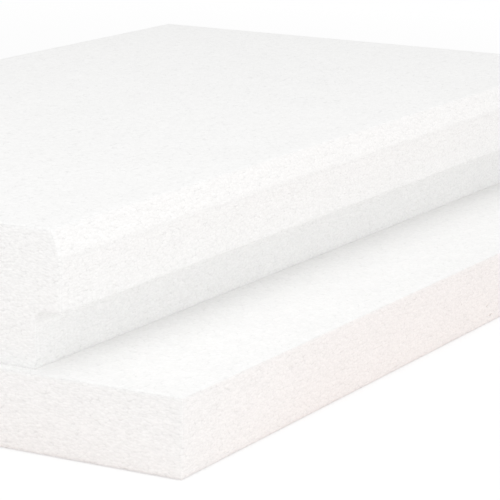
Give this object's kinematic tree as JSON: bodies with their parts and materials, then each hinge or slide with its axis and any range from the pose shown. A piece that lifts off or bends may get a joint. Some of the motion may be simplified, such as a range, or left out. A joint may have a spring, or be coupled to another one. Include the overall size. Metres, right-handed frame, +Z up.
{
  "type": "expanded polystyrene floor infill block",
  "caption": "Long white foam block with chamfered shoulders, notches for beam heels and a flat tongue along one side, laid between floor beams to insulate and form the slab.",
  "frame": {"origin": "on the underside, in the middle of the block's outer box", "axes": "+X across the block towards the tongue's tip, +Y along its length away from the stepped front end, +Z up"},
  "size_m": [0.725, 1.2, 0.192],
  "materials": {
    "foam": "matte white expanded polystyrene, its pressed beads showing as a fine grain on the cut faces"
  },
  "bodies": {
    "root": {"infill_block": "foam"}
  },
  "joints": []
}
